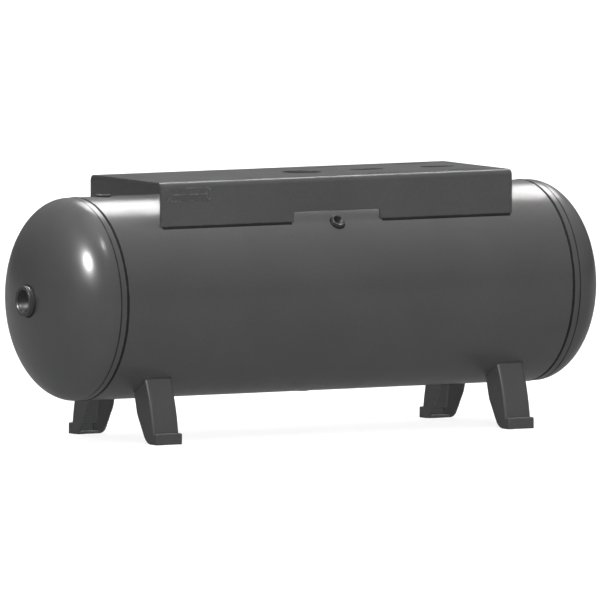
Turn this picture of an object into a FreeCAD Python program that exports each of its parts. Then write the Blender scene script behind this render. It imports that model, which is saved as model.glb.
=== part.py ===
import FreeCAD, Part
import math
import os
from FreeCAD import Vector as V

# Horizontal air receiver with a bent top plate and four pressed feet.
# Sizes in mm. +X runs along the tank, -Y is the front, z = 0 is the floor.

# tank
tank_r = 254.0             # outside radius of shell and heads
wall = 4.8                 # shell and head plate
axis_h = 355.6             # tank axis above the floor
shell_len = 1288.0         # between the two girth joints
skirt = 19.0               # straight flange of each head
head_ratio = 2.0           # ellipsoidal head, radius over depth
groove_w = 7.0             # girth and seam welds, width at the surface
groove_d = 3.2             # depth of their grooves
bead_h = 1.4               # height of a bead above the surface
seam_angle = 20.0          # seam weld, degrees above level at the rear

# couplings
small_od = 35.0            # three-quarter inch half coupling
small_bore = 24.6
small_len = 25.4
small_out = 10.0           # length outside the shell
top_out = 5.0              # the top coupling stands lower
end_od = 77.0              # two inch half coupling
end_bore = 57.0
end_len = 42.9
end_out = 14.0
drain_out = 0.8            # the drain coupling is nearly flush outside
lip_r = 1.5                # rounding at the mouth of a coupling
fillet_leg = 3.5           # leg of the fillet welds at couplings
front_angle = 45.0         # front and rear couplings, degrees above level
top_margin = 72.0          # top coupling to the left girth joint

# top plate
plate_t = 6.0
plate_w = 355.6
plate_margin = 136.0       # ends of the plate to the girth joints
plate_rise = 42.0          # top face above the crown of the shell
plate_bend = 15.0          # outside bend radius
plate_seat = 1.2           # depth the flange edges are coped by the shell
notch_w = 250.0
notch_h = 24.0
notch_r = 4.0
access_r = 50.0            # round hole at the middle of the plate
slot_len = 95.0
slot_w = 14.0
pass_w = 44.0              # wide openings between the slots
slot_near = 162.0          # middle of the near slots, from the access hole
pass_near = 189.0          # and of the near wide opening
slot_end = 114.0           # middle of the far slots, from the end of the plate
slot_edge = 47.8           # slots to the outer face of the flange
plate_weld = 2.2           # reach of the flange beads past its face
weld_stop = 6.0            # beads stop this far short of an edge

# data plate on the front flange
data_w = 127.0
data_h = 33.0
data_t = 1.0
data_end = 17.0            # end of the plate to the data plate
data_drop = 31.0           # plate top face down to the data plate's middle
rivet_r = 1.9
rivet_inset = 4.5

# feet
leg_margin = 135.0         # middle of a leg to the girth joint
leg_w = 74.5
leg_t = 4.5
leg_bend = 8.0             # outside radius of the long bends
web_foot = 208.0           # outside of the web at the top of the toe
web_bow = 450.0            # radius of the web's outward bow
web_bow_z = -30.0          # height of the bow's centre
toe_out = 224.0            # outside of the toe
toe_h = 28.0
toe_bend = 4.0             # outside radius of the toe's edges
toe_lap = 18.0             # length of the toe inside the channel
leg_buried = 0.54          # blank stops this share of tank_r below the axis, inside the shell
knee_u = 125.0             # bend of the sloping inner edge
knee_z = 72.0
upper_lean = 0.28          # lean of that edge above the bend
lower_lean = 0.66          # and below it
knee_r = 60.0
heel_r = 40.0
foot_plate_t = 6.0
foot_plate_w = 37.5        # across, inside the toe
bolt_inset = 24.0          # bolt hole to the outside of the toe
bolt_r = 7.0
leg_weld = 3.5

eps = 0.01
head_depth = tank_r / head_ratio
shell_half = shell_len / 2.0
crown_z = axis_h + tank_r
plate_top = crown_z + plate_rise
inner_half = plate_w / 2.0 - plate_t
plate_len = shell_len - 2.0 * plate_margin
slot_x = (slot_near, plate_len / 2.0 - slot_end)
pass_x = (pass_near, slot_x[1])
slot_y = plate_w / 2.0 - slot_edge
data_x = -plate_len / 2.0 + data_end + data_w / 2.0
top_x = top_margin - shell_half
leg_x = shell_half - leg_margin
flange_z = axis_h + math.sqrt(tank_r ** 2 - inner_half ** 2) - plate_seat


def axis_cylinder(radius, half):
    return Part.makeCylinder(radius, 2.0 * half, V(-half, 0, axis_h), V(1, 0, 0))


def profile(points):
    return Part.Face(Part.makePolygon(points + [points[0]]))


def tank_point(x, radial):
    return V(x, 0, axis_h + radial)


def spin(face):
    return face.revolve(V(0, 0, axis_h), V(1, 0, 0), 360.0)


def head_profile(radius, x_start):
    """Half section of a head's outline, from the joint to the axis."""
    tangent = shell_half + skirt
    depth = radius / tank_r * head_depth - (0.0 if radius == tank_r else (
        wall - wall / head_ratio))
    crown = V(tangent + depth, 0, axis_h)
    centre = V(tangent, 0, axis_h)
    ellipse = Part.Ellipse(V(tangent, 0, axis_h + radius), crown, centre)
    low = ellipse.parameter(V(tangent, 0, axis_h + radius))
    high = ellipse.parameter(crown)
    if high < low:
        high += 2.0 * math.pi
    if high - low > math.pi:
        low, high = high - 2.0 * math.pi, low
    arc = Part.ArcOfEllipse(ellipse, min(low, high), max(low, high)).toShape()
    edges = [
        Part.makeLine(V(x_start, 0, axis_h), V(x_start, 0, axis_h + radius)),
        Part.makeLine(V(x_start, 0, axis_h + radius), V(tangent, 0, axis_h + radius)),
        arc,
        Part.makeLine(crown, V(x_start, 0, axis_h)),
    ]
    return Part.Face(Part.Wire(Part.__sortEdges__(edges)))


def head_solid(radius, x_start):
    return spin(head_profile(radius, x_start))


def mirror_x(shape):
    return shape.mirror(V(0, 0, 0), V(1, 0, 0))


def mirror_y(shape):
    return shape.mirror(V(0, 0, 0), V(0, 1, 0))


def girth_bead():
    half = groove_w / 2.0
    bead = [
        tank_point(shell_half - half, tank_r),
        tank_point(shell_half - half * 0.62, tank_r + bead_h * 0.75),
        tank_point(shell_half, tank_r + bead_h),
        tank_point(shell_half + half * 0.62, tank_r + bead_h * 0.75),
        tank_point(shell_half + half, tank_r),
        tank_point(shell_half + half * 0.25, tank_r - groove_d),
        tank_point(shell_half - half * 0.25, tank_r - groove_d),
    ]
    return spin(profile(bead))


def seam_bead(girth):
    half = groove_w / 2.0
    reach = shell_half - groove_w / 2.0
    base = math.sqrt(tank_r ** 2 - half ** 2)
    bead = [
        V(-reach, -half, base),
        V(-reach, -half * 0.62, tank_r + bead_h * 0.75),
        V(-reach, 0, tank_r + bead_h),
        V(-reach, half * 0.62, tank_r + bead_h * 0.75),
        V(-reach, half, base),
        V(-reach, half * 0.25, tank_r - groove_d),
        V(-reach, -half * 0.25, tank_r - groove_d),
    ]
    solid = profile(bead).extrude(V(2.0 * reach, 0, 0))
    solid.rotate(V(0, 0, 0), V(1, 0, 0), seam_angle - 90.0)
    solid.translate(V(0, 0, axis_h))
    return solid.cut(girth).cut(mirror_x(girth))


def coupling(outer_d, bore_d, length):
    """Half coupling along +Z with its mouth at z = 0 and its body below."""
    body = Part.makeCylinder(outer_d / 2.0, length, V(0, 0, -length))
    rim = [e for e in body.Edges if abs(e.BoundBox.ZMin) < eps and abs(e.BoundBox.ZMax) < eps]
    body = body.makeFillet(lip_r, rim)
    bore = Part.makeCylinder(bore_d / 2.0, length + 2.0, V(0, 0, -length - 1.0))
    body = body.cut(bore)
    mouth = Part.makeCone(bore_d / 2.0, bore_d / 2.0 + 1.2, 1.2, V(0, 0, -1.2))
    return body.cut(mouth)


def head_face(radial):
    """Place along the tank of a head's outside face at a radius."""
    return shell_half + skirt + head_depth * math.sqrt(1.0 - (radial / tank_r) ** 2)


def end_fillet():
    """Fillet ring around an end coupling, following the crown of the head."""
    r = end_od / 2.0
    wide = r + fillet_leg
    ring = [
        tank_point(head_face(r), r),
        tank_point(head_face(wide), wide),
        tank_point(head_face(r) + fillet_leg * 0.6, r + fillet_leg * 0.45),
        tank_point(head_face(r) + fillet_leg, r),
    ]
    return spin(profile(ring))


def coupling_fillet(outer_d, surface, sink):
    """Fillet ring along +Z, standing on a surface that lies at z = -surface."""
    r = outer_d / 2.0
    low = -surface - sink
    ring = [
        V(r, 0, low),
        V(r + fillet_leg, 0, low),
        V(r + fillet_leg, 0, -surface),
        V(r + fillet_leg * 0.45, 0, -surface + fillet_leg * 0.6),
        V(r, 0, -surface + fillet_leg),
    ]
    return profile(ring).revolve(V(0, 0, 0), V(0, 0, 1), 360.0)


def place_radial(shape, x, angle, reach):
    """Turn a +Z shape to point outward at an angle above level at the front."""
    placed = shape.copy()
    placed.rotate(V(0, 0, 0), V(1, 0, 0), 90.0 - angle)
    a = math.radians(angle)
    placed.translate(V(x, -reach * math.cos(a), axis_h + reach * math.sin(a)))
    return placed


def place_end(shape, reach):
    placed = shape.copy()
    placed.rotate(V(0, 0, 0), V(0, 1, 0), 90.0)
    placed.translate(V(reach, 0, axis_h))
    return placed


def rounded_slot(x, y, length, width):
    r = width / 2.0
    half = length / 2.0 - r
    depth = plate_t + 20.0
    z = plate_top - plate_t - 10.0
    box = Part.makeBox(2.0 * half, width, depth, V(x - half, y - r, z))
    for side in (-half, half):
        box = box.fuse(Part.makeCylinder(r, depth, V(x + side, y, z)))
    return box.removeSplitter()


def bent_section(half, top, bend):
    """Closed section of the plate's outline, front to rear, at x = 0."""
    left = -half
    low = flange_z
    c = math.sqrt(0.5)
    corner = bend * (1.0 - c)
    edges = [
        Part.makeLine(V(0, left, low), V(0, left, top - bend)),
        Part.Arc(V(0, left, top - bend), V(0, left + corner, top - corner),
                 V(0, left + bend, top)).toShape(),
        Part.makeLine(V(0, left + bend, top), V(0, half - bend, top)),
        Part.Arc(V(0, half - bend, top), V(0, half - corner, top - corner),
                 V(0, half, top - bend)).toShape(),
        Part.makeLine(V(0, half, top - bend), V(0, half, low)),
        Part.makeLine(V(0, half, low), V(0, left, low)),
    ]
    return Part.Face(Part.Wire(edges))


def notch():
    half = notch_w / 2.0
    box = Part.makeBox(notch_w, plate_w + 20.0, notch_h + 20.0,
                       V(-half, -plate_w / 2.0 - 10.0, flange_z - 20.0))
    corners = [e for e in box.Edges
               if abs(e.BoundBox.ZMin - flange_z - notch_h) < eps
               and abs(e.BoundBox.ZMax - flange_z - notch_h) < eps
               and e.BoundBox.YLength > plate_w]
    return box.makeFillet(notch_r, corners)


def top_plate(tank):
    outer = bent_section(plate_w / 2.0, plate_top, plate_bend)
    inner = bent_section(inner_half, plate_top - plate_t, plate_bend - plate_t)
    body = outer.extrude(V(plate_len, 0, 0)).cut(inner.extrude(V(plate_len, 0, 0)))
    body.translate(V(-plate_len / 2.0, 0, 0))
    body = body.cut(notch())
    body = body.cut(Part.makeCylinder(access_r, plate_t + 20.0,
                                      V(0, 0, plate_top - plate_t - 10.0)))
    for x in pass_x:
        body = body.cut(rounded_slot(x, 0.0, slot_len, pass_w))
    for x in slot_x:
        for y in (-slot_y, slot_y):
            body = body.cut(rounded_slot(x, y, slot_len, slot_w))
    return body.cut(tank)


def plate_fillets(tank, plate):
    """Front beads that fill the gap under the flange, beside the notch."""
    outer = plate_w / 2.0
    inside = inner_half
    foot = outer + plate_weld
    foot_z = axis_h + math.sqrt(tank_r ** 2 - foot ** 2)
    start = notch_w / 2.0 + weld_stop
    length = plate_len / 2.0 - weld_stop - start
    section = [
        V(start, -inside, flange_z),
        V(start, -outer, flange_z),
        V(start, -outer - plate_weld * 0.55, flange_z - plate_weld * 0.5),
        V(start, -foot, foot_z),
        V(start, -foot + 2.0, foot_z - 3.0),
        V(start, -inside, flange_z - 4.0),
    ]
    bead = profile(section).extrude(V(length, 0, 0)).cut(tank).cut(plate)
    return Part.makeCompound([bead, mirror_x(bead)])


def web_at(z, inset):
    """Distance of the web from the middle of the tank at a height."""
    centre = web_foot - math.sqrt(web_bow ** 2 - (toe_h - web_bow_z) ** 2)
    return centre + math.sqrt((web_bow - inset) ** 2 - (z - web_bow_z) ** 2)


def upper_edge_at(z):
    return knee_u - (z - knee_z) * upper_lean


def lower_edge_at(z):
    return knee_u - (z - knee_z) * lower_lean


def edges_along_x(body, u, z):
    picked = []
    for e in body.Edges:
        b = e.BoundBox
        if b.YLength < eps and b.ZLength < eps:
            if abs(b.YMin + u) < 0.05 and abs(b.ZMin - z) < 0.05:
                picked.append(e)
    return picked


def channel_blank(inset, grow):
    """Solid behind the web, inset by the plate or grown past its open sides."""
    high = axis_h - tank_r * leg_buried
    mid = (high + toe_h) / 2.0
    low = -grow
    heel = lower_edge_at(0.0) - grow

    def at(u, z):
        return V(0, -u, z)

    bow = Part.Arc(at(web_at(high, inset), high), at(web_at(mid, inset), mid),
                   at(web_at(low, inset), low)).toShape()
    edges = [
        bow,
        Part.makeLine(at(web_at(low, inset), low), at(heel, low)),
        Part.makeLine(at(heel, low), at(knee_u - grow, knee_z)),
        Part.makeLine(at(knee_u - grow, knee_z), at(upper_edge_at(high) - grow, high)),
        Part.makeLine(at(upper_edge_at(high) - grow, high), at(web_at(high, inset), high)),
    ]
    width = leg_w - 2.0 * inset
    body = Part.Face(Part.Wire(edges)).extrude(V(width, 0, 0))
    body.translate(V(-width / 2.0, 0, 0))
    if grow == 0.0:
        body = body.makeFillet(knee_r, edges_along_x(body, knee_u, knee_z))
        body = body.makeFillet(heel_r, edges_along_x(body, heel, low))
    web_edges = []
    for e in body.Edges:
        if e.BoundBox.XLength < eps:
            p = e.valueAt((e.FirstParameter + e.LastParameter) / 2.0)
            if abs(-p.y - web_at(p.z, inset)) < 0.05:
                web_edges.append(e)
    return body.makeFillet(leg_bend - inset, web_edges)


def toe_blank(inset, low):
    """Box of the stepped-out toe, inset by the plate thickness."""
    half = leg_w / 2.0 - inset
    out = toe_out - inset
    top = toe_h - inset
    box = Part.makeBox(2.0 * half, out - web_foot + toe_lap, top - low, V(-half, -out, low))
    if inset > 0.0:
        return box
    rounded = []
    for e in box.Edges:
        b = e.BoundBox
        front = abs(b.YMax + out) < eps
        ledge = abs(b.ZMin - top) < eps
        if front and not (b.XLength > eps and abs(b.ZMin - low) < eps):
            rounded.append(e)
        elif ledge and b.YLength > eps:
            rounded.append(e)
    return box.makeFillet(toe_bend, rounded)


def front_leg(tank):
    outer = channel_blank(0.0, 0.0).fuse(toe_blank(0.0, 0.0))
    hollow = channel_blank(leg_t, 60.0).fuse(toe_blank(leg_t, -60.0))
    leg = outer.cut(hollow).cut(tank)
    return leg.translated(V(leg_x, 0, 0)), outer.translated(V(leg_x, 0, 0))


def foot_plate():
    outer = toe_out - leg_t
    half = leg_w / 2.0 - leg_t
    bolt_y = toe_out - bolt_inset
    plate = Part.makeBox(2.0 * half, foot_plate_w, foot_plate_t, V(-half, -outer, 0))
    plate = plate.cut(Part.makeCylinder(bolt_r, foot_plate_t + 2.0, V(0, -bolt_y, -1.0)))
    return plate.translated(V(leg_x, 0, 0))


def leg_fillet(tank, blank):
    """Bead around the outside of a leg where it meets the shell."""
    ring = axis_cylinder(tank_r + leg_weld, shell_half)
    around = channel_blank(-leg_weld, 0.0).translated(V(leg_x, 0, 0))
    bead = around.common(ring).cut(tank).cut(blank)
    return max(bead.Solids, key=lambda s: s.Volume)


def data_plate():
    plate = Part.makeBox(data_w, data_t, data_h,
                         V(data_x - data_w / 2.0, -plate_w / 2.0 - data_t,
                           plate_top - data_drop - data_h / 2.0))
    corners = [e for e in plate.Edges if e.BoundBox.YLength > eps
               and e.BoundBox.XLength < eps and e.BoundBox.ZLength < eps]
    return plate.makeFillet(3.0, corners)


def data_rivets():
    rivets = []
    for sx in (-1, 1):
        for sz in (-1, 1):
            x = data_x + sx * (data_w / 2.0 - rivet_inset)
            z = plate_top - data_drop + sz * (data_h / 2.0 - rivet_inset)
            face = -plate_w / 2.0 - data_t
            head = Part.makeSphere(rivet_r * 1.25, V(x, face + rivet_r * 0.75, z))
            keep = Part.makeBox(8.0, 8.0, 8.0, V(x - 4.0, face - 8.0, z - 4.0))
            rivets.append(head.common(keep))
    return Part.makeCompound(rivets)


def build():
    nodes = {}
    outside = axis_cylinder(tank_r, shell_half)
    tank = axis_cylinder(tank_r, shell_half + skirt)
    girth = girth_bead()
    seam = seam_bead(girth)
    bodies = {}
    small = coupling(small_od, small_bore, small_len)
    places = {"front": (0.0, front_angle, small_out),
              "rear": (0.0, 180.0 - front_angle, small_out),
              "top": (top_x, 90.0, top_out), "centre_top": (0.0, 90.0, small_out)}
    for name, (x, angle, out) in places.items():
        bodies[name] = place_radial(small, x, angle, tank_r + out)
        ring = coupling_fillet(small_od, out, 2.5)
        weld = place_radial(ring, x, angle, tank_r + out).cut(tank)
        nodes[name + "_coupling_weld"] = weld
    drain = place_radial(small, 0.0, -90.0, tank_r + drain_out)
    bodies["drain"] = drain
    end = place_end(coupling(end_od, end_bore, end_len),
                    shell_half + skirt + head_depth + end_out)
    for name, body in bodies.items():
        nodes[name + "_coupling"] = body
    nodes["end_coupling_right"] = end
    nodes["end_coupling_left"] = mirror_x(end)

    shell = outside.cut(axis_cylinder(tank_r - wall, shell_half + 1.0))
    shell = shell.cut(girth).cut(mirror_x(girth)).cut(seam)
    plain_small = Part.makeCylinder(small_od / 2.0, 80.0, V(0, 0, -60.0))
    for x, angle, out in places.values():
        shell = shell.cut(place_radial(plain_small, x, angle, tank_r + out))
    shell = shell.cut(place_radial(plain_small, 0.0, -90.0, tank_r))
    nodes["shell"] = shell

    head = head_solid(tank_r, shell_half)
    head = head.cut(head_solid(tank_r - wall, shell_half - 1.0)).cut(girth)
    end_plug = Part.makeCylinder(end_od / 2.0, 200.0, V(shell_half, 0, axis_h), V(1, 0, 0))
    head = head.cut(end_plug)
    nodes["head_right"] = head
    nodes["head_left"] = mirror_x(head)
    end_weld = end_fillet()
    nodes["end_weld_right"] = end_weld
    nodes["end_weld_left"] = mirror_x(end_weld)
    nodes["girth_weld_right"] = girth
    nodes["girth_weld_left"] = mirror_x(girth)
    nodes["seam_weld"] = seam

    plate = top_plate(tank)
    nodes["top_plate"] = plate
    fillets = plate_fillets(tank, plate)
    nodes["plate_weld_front"] = fillets
    nodes["plate_weld_rear"] = mirror_y(fillets)
    nodes["data_plate"] = data_plate()
    nodes["data_plate_rivets"] = data_rivets()

    leg, blank = front_leg(tank)
    pad = foot_plate()
    bead = leg_fillet(tank, blank)
    for name, shape in (("leg", leg), ("foot_plate", pad), ("leg_weld", bead)):
        nodes[name + "_front_right"] = shape
        nodes[name + "_front_left"] = mirror_x(shape)
        nodes[name + "_rear_right"] = mirror_y(shape)
        nodes[name + "_rear_left"] = mirror_x(mirror_y(shape))
    return nodes


os.makedirs("parts", exist_ok=True)
for node, shape in build().items():
    solids = Part.makeCompound(shape.Solids) if len(shape.Solids) > 1 else shape.Solids[0]
    solids.exportStep(os.path.join("parts", node + ".step"))
    print(node, len(shape.Solids), shape.isValid(), round(shape.Volume))
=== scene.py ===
import math

import bmesh
import bpy
from mathutils import Matrix, Vector, noise


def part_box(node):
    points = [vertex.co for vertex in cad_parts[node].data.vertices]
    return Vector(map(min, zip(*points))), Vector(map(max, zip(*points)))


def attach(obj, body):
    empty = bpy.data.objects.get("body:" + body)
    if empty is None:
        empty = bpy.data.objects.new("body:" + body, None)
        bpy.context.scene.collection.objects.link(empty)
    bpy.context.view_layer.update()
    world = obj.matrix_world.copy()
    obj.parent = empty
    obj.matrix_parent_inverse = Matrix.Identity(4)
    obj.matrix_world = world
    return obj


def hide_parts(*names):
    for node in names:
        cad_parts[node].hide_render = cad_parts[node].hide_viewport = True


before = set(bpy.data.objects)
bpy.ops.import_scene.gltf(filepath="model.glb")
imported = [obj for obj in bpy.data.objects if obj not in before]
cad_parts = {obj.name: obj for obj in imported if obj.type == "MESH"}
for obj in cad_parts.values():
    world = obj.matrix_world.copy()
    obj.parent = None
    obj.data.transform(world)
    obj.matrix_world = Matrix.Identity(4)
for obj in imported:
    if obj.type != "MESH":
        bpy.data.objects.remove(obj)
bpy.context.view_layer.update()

# Horizontal air receiver. Metres; +X runs along the tank, -Y is the front, z = 0 is the floor.
X, Y, Z = Vector((1, 0, 0)), Vector((0, 1, 0)), Vector((0, 0, 1))
MM = 0.001


def half_span(node, axis):
    """Half of a node's size along one axis."""
    low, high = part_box(node)
    return (high[axis] - low[axis]) / 2


# tank
TANK_R = half_span("shell", 2)
WALL = 4.8 * MM
AXIS = Vector((0, 0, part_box("shell")[0].z + TANK_R))
JOINT_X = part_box("shell")[1].x  # girth joints, from the middle
SKIRT = 19.0 * MM               # straight flange of a head
HEAD_DEPTH = TANK_R / 2
GROOVE_W = 7.0 * MM
GROOVE_D = 3.2 * MM
SEAM_ANGLE = 20.0               # long seam, degrees above level at the rear
WAVE = 0.06 * MM                # how far rolled plate strays from true
WAVE_PER_METRE = 3.1
PULL = 0.22 * MM                # how far a girth weld draws the plate in
PULL_REACH = 18.0 * MM          # distance over which that pull dies away
PULL_START = 30.0 * MM          # the plate is true at the joint and free beyond this
AROUND_TANK = 256               # points round the shell and heads
SHELL_ROWS, HEAD_ROWS, INSIDE_ROWS = 150, 90, 24

# welds
BEAD_H = 1.07 * MM
FILLET = 3.5 * MM
LEG_FILLET = 3.5 * MM
RIPPLE = 4.2 * MM               # spacing of the ripples in a bead
RIPPLE_DEPTH = 0.32 * MM
RIPPLE_STEPS = 6                # sections to a ripple
FACE_STEPS = 8                  # divisions across the face of a bead
END_TAPER = 3.0 * MM            # length over which an open bead fades out
PLATE_BEAD_STOP = 6.0 * MM      # beads stop this far short of the notch
PLATE_BEAD_REACH = 2.2 * MM     # and reach this far past the flange's face

# couplings
SMALL_R, SMALL_BORE = half_span("front_coupling", 0), 12.3 * MM
SMALL_LEN = 2 * half_span("centre_top_coupling", 2)
SMALL_PITCH, SMALL_SINK = 1.81 * MM, 1.2 * MM
END_R, END_BORE = half_span("end_coupling_left", 1), 28.5 * MM
END_LEN = 2 * half_span("end_coupling_left", 0)
END_PITCH, END_SINK = 2.21 * MM, 2.6 * MM
LIP = 1.5 * MM                  # rounding of a coupling's mouth
THREAD_DEPTH = 1.15 * MM
THREAD_STEPS = 8                # divisions of one pitch
# angle above level at the front, and how far the mouth stands off the shell
COUPLINGS = {"front": (45.0, 10.0 * MM), "rear": (135.0, 10.0 * MM), "top": (90.0, 5.0 * MM),
             "centre_top": (90.0, 10.0 * MM), "drain": (-90.0, 0.8 * MM)}

# top plate and feet
PLATE_HALF_W = half_span("top_plate", 1)
FLANGE_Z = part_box("top_plate")[0].z
NOTCH_HALF = 125.0 * MM
PLATE_EASE, FOOT_EASE = 0.7 * MM, 0.5 * MM
LEG_HALF_W = half_span("leg_front_left", 0)
LEG_BEND = 8.0 * MM
WEB_BOW, WEB_BOW_Z = 450.0 * MM, -30.0 * MM     # radius of a foot's web, and its centre's height
WEB_FOOT, TOE_TOP = 208.0 * MM, 28.0 * MM       # where the web ends at the top of the toe


# ---------------------------------------------------------------- mesh making

def finish_piece(name, mesh, materials, node, sharp=35.0):
    """Shade a mesh, put it in the scene and let it stand for its node."""
    for polygon in mesh.polygons:
        polygon.use_smooth = True
    mesh.set_sharp_from_angle(angle=math.radians(sharp))
    for material in materials:
        mesh.materials.append(material)
    piece = bpy.data.objects.new(name, mesh)
    bpy.context.scene.collection.objects.link(piece)
    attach(piece, "root")
    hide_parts(node)
    return piece


def mesh_from(name, points, faces):
    """Mesh of the given points and faces, every face turned outward."""
    mesh = bpy.data.meshes.new(name)
    mesh.from_pydata([tuple(p) for p in points], [], faces)
    mesh.validate()
    work = bmesh.new()
    work.from_mesh(mesh)
    bmesh.ops.recalc_face_normals(work, faces=work.faces)
    work.to_mesh(mesh)
    work.free()
    return mesh


def tube_faces(rows, around, closed_rows):
    """Quads of a grid whose every row is a closed loop of points."""
    faces = []
    for i in range(rows if closed_rows else rows - 1):
        j = (i + 1) % rows
        for k in range(around):
            m = (k + 1) % around
            faces.append((i * around + k, i * around + m, j * around + m, j * around + k))
    return faces


def steps(low, high, count):
    return [low + (high - low) * i / count for i in range(count + 1)]


def strays(a, b, c, scale):
    """Smooth wandering value near -1 to 1."""
    return 2.0 * noise.noise(Vector((a * scale, b * scale, c * scale)))


# ---------------------------------------------------------------- shell and heads

def revolved(name, outline):
    """Closed outline of (along, radius, may stray) turned round the tank's axis."""
    points = []
    for t in range(AROUND_TANK):
        angle = 2.0 * math.pi * t / AROUND_TANK
        for along, radius, free in outline:
            grown = radius + (plate_stray(along, angle) if free else 0.0)
            points.append(AXIS + X * along
                          + Y * grown * math.cos(angle) + Z * grown * math.sin(angle))
    return mesh_from(name, points, tube_faces(AROUND_TANK, len(outline), True))


def plate_stray(along, angle):
    """Slight waviness of the plate, and its pull towards the girth welds."""
    wave = strays(along, math.cos(angle), math.sin(angle), WAVE_PER_METRE)
    off = abs(abs(along) - JOINT_X)
    free = min(1.0, off / PULL_START)
    return free * (WAVE * wave - PULL * math.exp(-(off / PULL_REACH) ** 2))


def shell_mesh():
    half = JOINT_X - GROOVE_W / 2
    root = JOINT_X - GROOVE_W / 8
    inner = TANK_R - WALL
    outline = [(a, TANK_R, True) for a in steps(-half, half, SHELL_ROWS)]
    outline += [(root, TANK_R - GROOVE_D, False), (root, inner, False)]
    outline += [(a, inner, False) for a in steps(root, -root, 8)[1:]]
    outline += [(-root, TANK_R - GROOVE_D, False)]
    return revolved("shell_rolled", outline)


def head_mesh(side):
    """Dished head, from the girth joint to the end coupling."""
    start = JOINT_X + GROOVE_W / 2
    root = JOINT_X + GROOVE_W / 8
    tangent = JOINT_X + SKIRT
    outline = [(a, TANK_R, True) for a in steps(start, tangent, 8)]
    top = math.acos(END_R / TANK_R)
    for a in steps(0.0, top, HEAD_ROWS)[1:]:
        outline.append((tangent + HEAD_DEPTH * math.sin(a), TANK_R * math.cos(a), True))
    inner, deep = TANK_R - WALL, HEAD_DEPTH - WALL
    top = math.acos(END_R / inner)
    for a in steps(top, 0.0, INSIDE_ROWS):
        outline.append((tangent + deep * math.sin(a), inner * math.cos(a), False))
    outline += [(root, inner, False), (root, TANK_R - GROOVE_D, False)]
    turned = [(side * a, r, free) for a, r, free in outline]
    return revolved("head_dished", turned)


def cut_round_holes(mesh, holes):
    """Bore straight holes, each (point, direction, radius, reach), through a mesh."""
    work = bpy.data.objects.new("work", mesh)
    bpy.context.scene.collection.objects.link(work)
    drill = bmesh.new()
    for point, way, radius, reach in holes:
        turn = way.to_track_quat("Z", "Y").to_matrix().to_4x4()
        bmesh.ops.create_cone(drill, cap_ends=True, segments=96, radius1=radius, radius2=radius,
                              depth=reach, matrix=Matrix.Translation(point) @ turn)
    drill_mesh = bpy.data.meshes.new("drill")
    drill.to_mesh(drill_mesh)
    drill.free()
    cutter = bpy.data.objects.new("drill", drill_mesh)
    bpy.context.scene.collection.objects.link(cutter)
    cut = work.modifiers.new("holes", "BOOLEAN")
    cut.operation, cut.object, cut.solver = "DIFFERENCE", cutter, "EXACT"
    done = bpy.data.meshes.new_from_object(
        work.evaluated_get(bpy.context.evaluated_depsgraph_get()))
    bpy.data.objects.remove(work)
    bpy.data.objects.remove(cutter)
    done.materials.clear()
    return done


# ---------------------------------------------------------------- weld beads

def ripple_at(place, across):
    """Rise of the overlapping crescents of a bead; place counts ripples along it."""
    phase = (place - 0.45 * across * across) % 1.0
    fade = 1.0 - across ** 4
    return 0.5 * RIPPLE_DEPTH * math.cos(2.0 * math.pi * phase ** 0.7) * fade


def end_fade(fraction, length):
    """Height of an open bead near its two ends, rounded off over the end taper."""
    ends = min(1.0, min(fraction, 1.0 - fraction) * length / END_TAPER)
    return math.sqrt(max(0.0, 1.0 - (1.0 - ends) ** 2))


def swept(name, stations, sections, closed):
    """Skin closed sections of (a, b) points along stations of (origin, a way, b way)."""
    around = len(sections[0])
    points = []
    for (origin, way_a, way_b), section in zip(stations, sections):
        points += [origin + way_a * a + way_b * b for a, b in section]
    faces = tube_faces(len(stations), around, closed)
    if not closed:
        faces.append(tuple(range(around)))
        faces.append(tuple((len(stations) - 1) * around + k for k in range(around)))
    return mesh_from(name, points, faces)


def ripple_stations(length, closed):
    """Fractions along a bead, with the ripple count at each."""
    ripples = max(3, round(length / RIPPLE))
    count = ripples * RIPPLE_STEPS
    last = count if closed else count + 1
    return [(i / count, ripples * i / count) for i in range(last)]


def butt_section(place, seed, fraction, closed):
    """Section of a bead in a groove: toes, crown and root."""
    half = GROOVE_W / 2
    turn = 2.0 * math.pi * fraction
    if closed:
        drift = strays(math.cos(turn) * 9.0, math.sin(turn) * 9.0, seed, 1.0)
        swell = strays(math.cos(turn) * 31.0, math.sin(turn) * 31.0, seed + 5.0, 1.0)
    else:
        drift = strays(fraction * 50.0, 0.3, seed, 1.0)
        swell = strays(fraction * 170.0, 0.7, seed + 5.0, 1.0)
    wide = half * (1.10 + 0.07 * swell)
    centre = 0.22 * MM * drift
    section = []
    for s in steps(-1.0, 1.0, FACE_STEPS):
        crown = BEAD_H * (1.0 - s * s) ** 0.75 * (1.0 + 0.08 * swell)
        sink = 0.12 * MM * s * s
        section.append((centre + wide * s, crown - sink + ripple_at(place, s) * 0.5))
    section += [(half * 0.3, -GROOVE_D * 0.9), (-half * 0.3, -GROOVE_D * 0.9)]
    return section


def girth_bead_mesh(side):
    circle = 2.0 * math.pi * TANK_R
    stations, sections = [], []
    for fraction, place in ripple_stations(circle, True):
        angle = 2.0 * math.pi * fraction
        outward = Y * math.cos(angle) + Z * math.sin(angle)
        stations.append((AXIS + X * side * JOINT_X + outward * TANK_R, X, outward))
        sections.append(butt_section(place, 3.0 + side, fraction, True))
    return swept("girth_bead", stations, sections, True)


def seam_bead_mesh():
    angle = math.radians(SEAM_ANGLE)
    outward = Y * math.cos(angle) + Z * math.sin(angle)
    across = X.cross(outward)
    reach = JOINT_X - GROOVE_W / 2
    stations, sections = [], []
    for fraction, place in ripple_stations(2.0 * reach, False):
        stations.append((AXIS + X * (2.0 * fraction - 1.0) * reach + outward * TANK_R,
                         across, outward))
        sections.append(butt_section(place, 11.0, fraction, False))
    return swept("seam_bead", stations, sections, False)


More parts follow.
